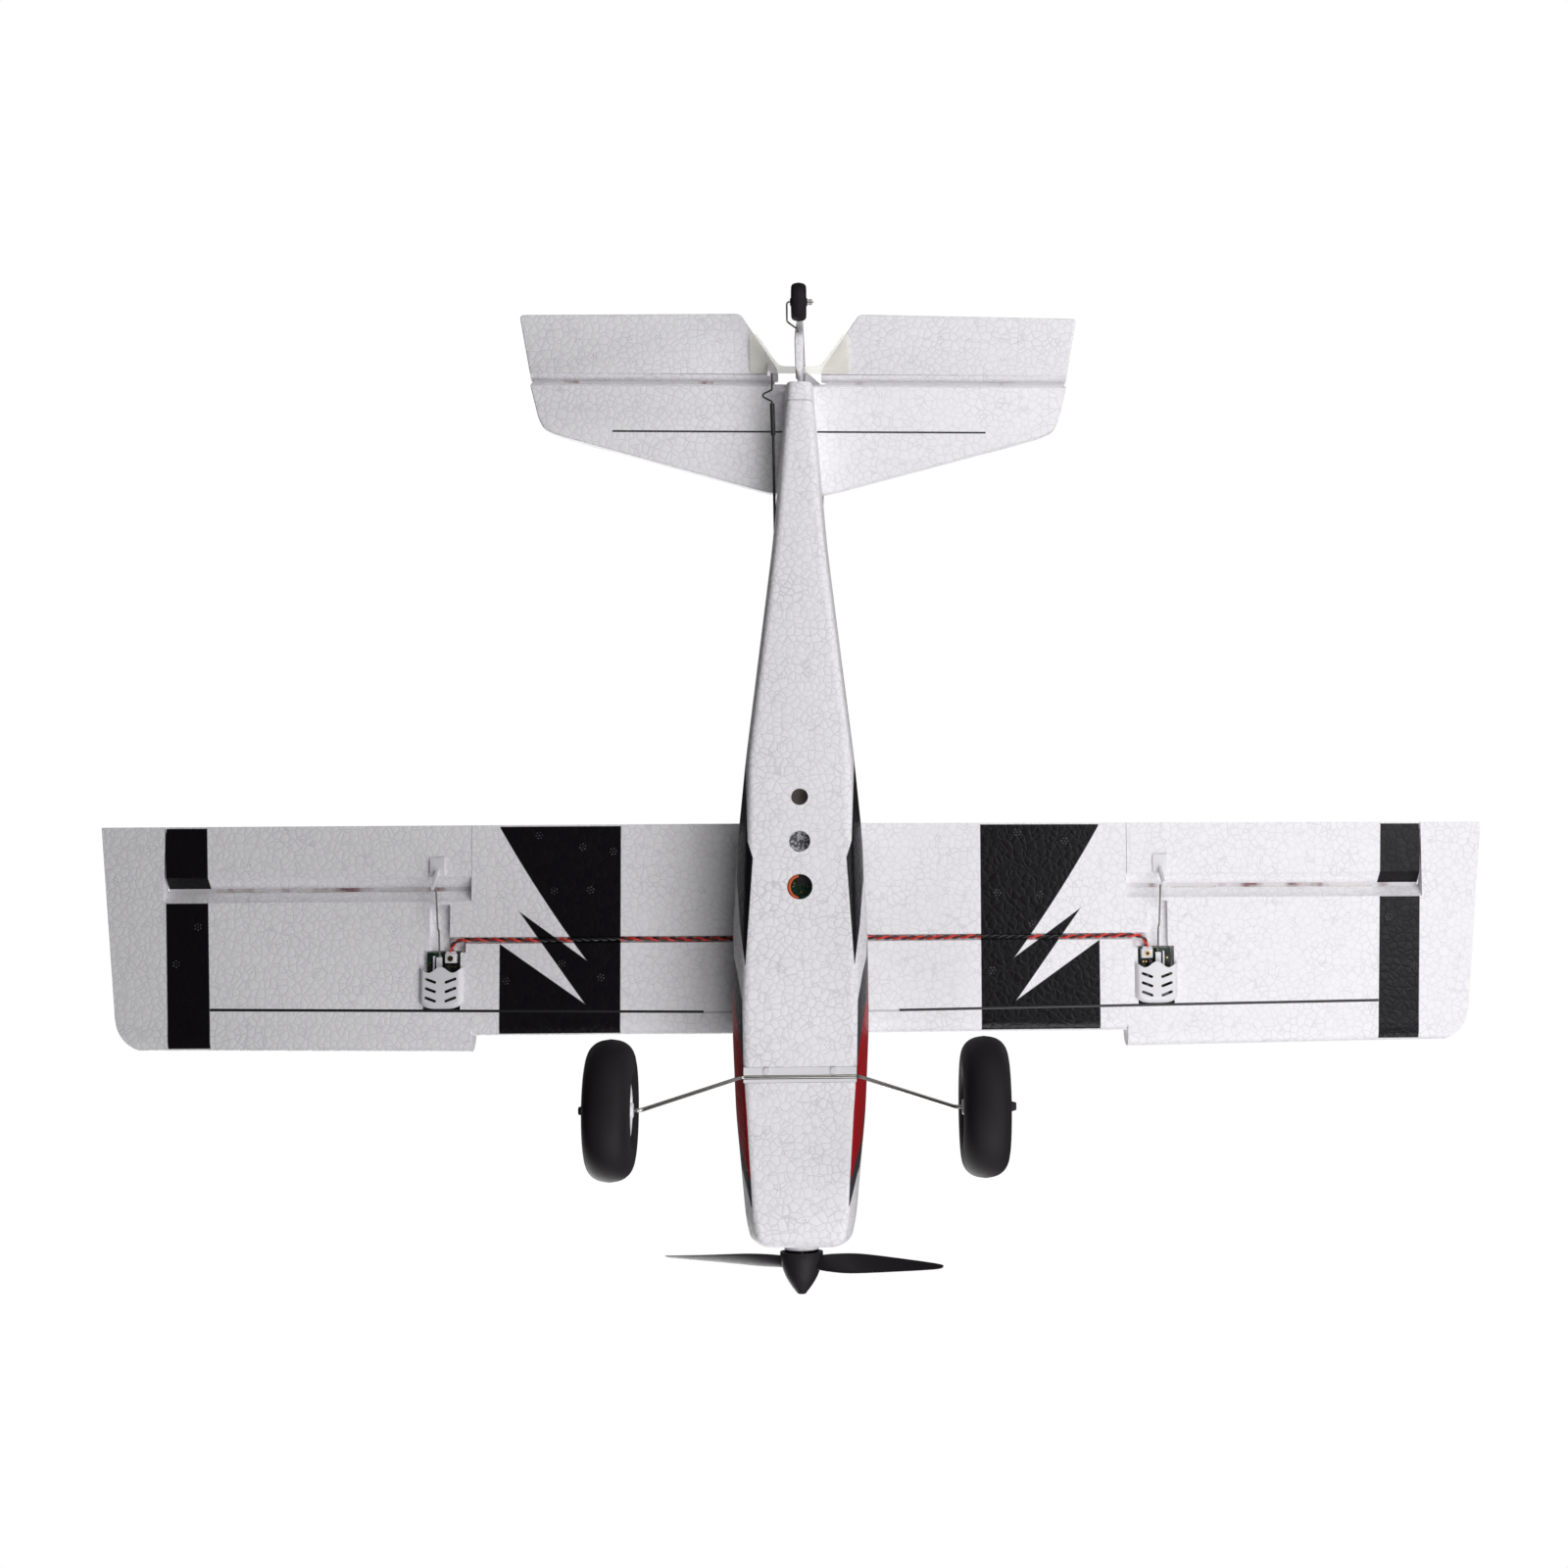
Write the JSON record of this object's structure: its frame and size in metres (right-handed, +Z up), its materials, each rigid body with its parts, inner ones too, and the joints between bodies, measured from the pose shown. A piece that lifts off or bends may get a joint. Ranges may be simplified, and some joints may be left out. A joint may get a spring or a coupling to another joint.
{
  "type": "radio-controlled foam airplane",
  "caption": "Micro high-wing foam model airplane on a tail wheel, with ailerons, elevator, rudder, wire landing gear with large soft tyres and a two-blade propeller.",
  "frame": {"origin": "on the ground under the middle of the airplane's box, with the three wheels standing on Z = 0", "axes": "+X to the left wing tip, +Y towards the tail, +Z up; the nose points to -Y and up by the ground angle"},
  "size_m": [0.6156, 0.437, 0.135],
  "materials": {
    "foam_white": "moulded bead foam, white, with painted black, red and dark grey areas",
    "clear_plastic": "translucent moulded plastic",
    "white_plastic": "white moulded plastic",
    "black_plastic": "black moulded plastic, satin",
    "tyre": "soft matte dark foam rubber",
    "carbon": "pultruded carbon rod, satin",
    "steel_wire": "bright spring-steel wire",
    "screw_steel": "blackened steel",
    "motor_metal": "turned aluminium and steel",
    "magnet": "nickel-plated magnet",
    "circuit_board": "green lacquered circuit board",
    "lead": "red and black insulated wire",
    "battery_wrap": "shrink-wrapped battery pack",
    "strap": "woven hook-and-loop strap",
    "hinge_strip": "thin flexible plastic strip"
  },
  "bodies": {
    "airframe": {"fuselage_tub": "foam_white", "fuselage_deck": "foam_white", "magnet_bridge": "white_plastic", "landing_gear_plate": "white_plastic", "landing_gear_screws": "screw_steel", "landing_gear_wire": "steel_wire", "motor_mount": "white_plastic", "motor_stator": "motor_metal", "stabilizer": "foam_white", "carbon_spars": "carbon", "fin": "foam_white", "axle_retainers": "black_plastic", "aileron_hinge_strips": "hinge_strip", "flight_board": "circuit_board", "tail_servos": "motor_metal", "battery": "battery_wrap", "battery_strap": "strap", "left_wing": "foam_white", "left_servo_board": "circuit_board", "left_servo_motor": "motor_metal", "left_servo_cover": "white_plastic", "left_servo_lead": "lead", "right_wing": "foam_white", "right_servo_board": "circuit_board", "right_servo_motor": "motor_metal", "right_servo_cover": "white_plastic", "right_servo_lead": "lead"},
    "propeller": {"motor_bell": "motor_metal", "motor_shaft": "steel_wire", "propeller": "black_plastic", "propeller_nut": "screw_steel", "spinner": "black_plastic"},
    "left_wheel": {"left_tyre": "tyre", "left_hub": "white_plastic"},
    "right_wheel": {"right_tyre": "tyre", "right_hub": "white_plastic"},
    "left_aileron": {"left_aileron": "foam_white", "left_aileron_horn": "white_plastic"},
    "right_aileron": {"right_aileron": "foam_white", "right_aileron_horn": "white_plastic"},
    "left_aileron_servo": {"left_servo_slider": "white_plastic", "left_aileron_pushrod": "steel_wire"},
    "right_aileron_servo": {"right_servo_slider": "white_plastic", "right_aileron_pushrod": "steel_wire"},
    "elevator": {"left_elevator": "foam_white", "right_elevator": "foam_white", "elevator_joiner": "clear_plastic", "elevator_horn": "white_plastic"},
    "elevator_servo": {"elevator_servo_slider": "white_plastic", "elevator_pushrod": "carbon"},
    "rudder": {"rudder": "foam_white", "rudder_horn": "white_plastic", "tail_wheel_wire": "steel_wire"},
    "rudder_servo": {"rudder_servo_slider": "white_plastic", "rudder_pushrod": "carbon"},
    "tail_wheel": {"tail_wheel_tyre": "tyre", "tail_wheel_hub": "white_plastic"},
    "hatch": {"canopy_hatch": "foam_white", "hatch_magnets": "magnet"}
  },
  "joints": [
    {"name": "propeller_spin", "type": "hinge", "parent": "airframe", "child": "propeller", "pos_m": [0, -0.20473, 0.11125], "axis": [0, 0.9792, -0.2027], "continuous": true},
    {"name": "left_wheel_spin", "type": "hinge", "parent": "airframe", "child": "left_wheel", "pos_m": [0.0744, -0.15033, 0.0282], "axis": [1, 0, 0], "continuous": true},
    {"name": "right_wheel_spin", "type": "hinge", "parent": "airframe", "child": "right_wheel", "pos_m": [-0.0744, -0.15033, 0.0282], "axis": [1, 0, 0], "continuous": true},
    {"name": "left_aileron_hinge", "type": "hinge", "parent": "airframe", "child": "left_aileron", "pos_m": [0.19967, -0.04133, 0.10636], "axis": [0.9994, 0.0071, 0.0342], "range_deg": [-22, 22]},
    {"name": "right_aileron_hinge", "type": "hinge", "parent": "airframe", "child": "right_aileron", "pos_m": [-0.19967, -0.04133, 0.10636], "axis": [0.9994, -0.0071, -0.0342], "range_deg": [-22, 22]},
    {"name": "elevator_hinge", "type": "hinge", "parent": "airframe", "child": "elevator", "pos_m": [0, 0.174, 0.04154], "axis": [1, 0, 0], "range_deg": [-20, 20]},
    {"name": "rudder_hinge", "type": "hinge", "parent": "airframe", "child": "rudder", "pos_m": [0, 0.17204, 0.04194], "axis": [0, 0.2027, 0.9792], "range_deg": [-24, 24]},
    {"name": "tail_wheel_spin", "type": "hinge", "parent": "rudder", "child": "tail_wheel", "pos_m": [0, 0.19643, 0.0083], "axis": [1, 0, 0], "continuous": true},
    {"name": "left_aileron_servo", "type": "slide", "parent": "airframe", "child": "left_aileron_servo", "axis": [0, 0.9792, -0.2027], "range_m": [-0.0054, 0.0054]},
    {"name": "right_aileron_servo", "type": "slide", "parent": "airframe", "child": "right_aileron_servo", "axis": [0, 0.9792, -0.2027], "range_m": [-0.0054, 0.0054]},
    {"name": "elevator_servo", "type": "slide", "parent": "airframe", "child": "elevator_servo", "axis": [0, 0.9792, -0.2027], "range_m": [-0.0056, 0.0056]},
    {"name": "rudder_servo", "type": "slide", "parent": "airframe", "child": "rudder_servo", "axis": [0, 0.9792, -0.2027], "range_m": [-0.0046, 0.0046]},
    {"name": "hatch_lift", "type": "slide", "parent": "airframe", "child": "hatch", "axis": [0, 0.2027, 0.9792], "range_m": [0, 0.045]}
  ],
  "couplings": [
    {"joint": "left_aileron_servo", "follows": "left_aileron_hinge", "m_per_rad": 0.014051},
    {"joint": "right_aileron_servo", "follows": "right_aileron_hinge", "m_per_rad": 0.014051},
    {"joint": "elevator_servo", "follows": "elevator_hinge", "m_per_rad": 0.0154},
    {"joint": "rudder_servo", "follows": "rudder_hinge", "m_per_rad": -0.0104}
  ]
}
